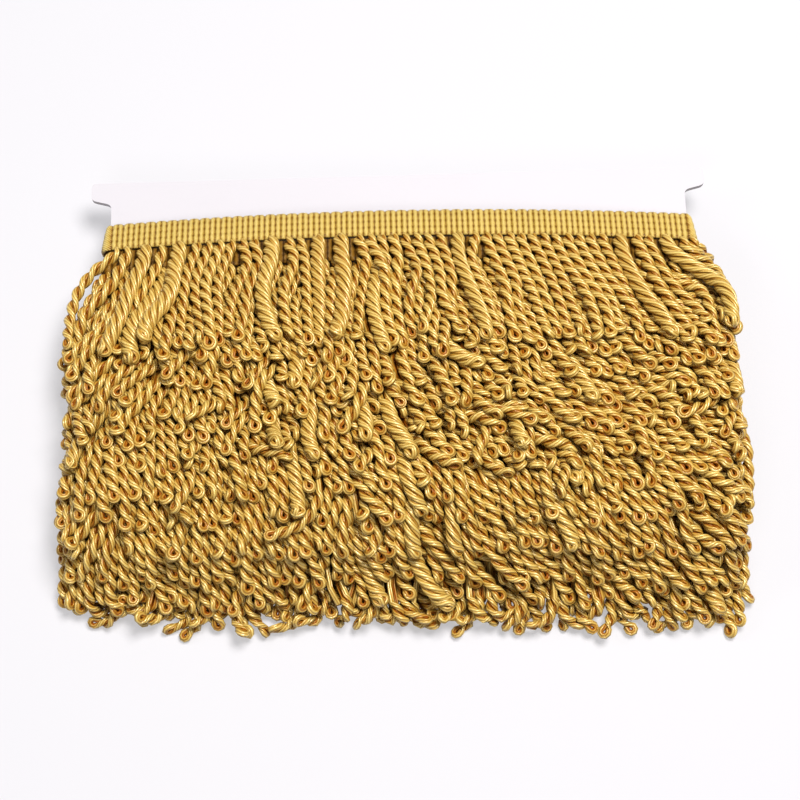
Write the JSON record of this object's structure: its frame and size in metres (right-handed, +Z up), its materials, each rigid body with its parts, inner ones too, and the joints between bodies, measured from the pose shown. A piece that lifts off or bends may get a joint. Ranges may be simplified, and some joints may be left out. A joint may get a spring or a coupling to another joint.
{
  "type": "cord fringe trim wound on a card",
  "caption": "Twisted cord fringe with a woven header tape, wound edge over edge round a flat card and lying on its back.",
  "frame": {"origin": "on the surface that the trim rests on, under the middle of its bounding box", "axes": "+X along the header tape, +Y towards the bare strip of card, away from the tips of the cords, +Z up off the surface"},
  "size_m": [0.3052, 0.2066, 0.0489],
  "materials": {
    "card_board": "matt white board",
    "header_braid": "gold rayon braid, satin",
    "twisted_cord": "twisted gold rayon cord, satin"
  },
  "bodies": {
    "root": {"winding_card": "card_board", "header_tape": "header_braid", "cord_fringe": "twisted_cord"}
  },
  "joints": []
}
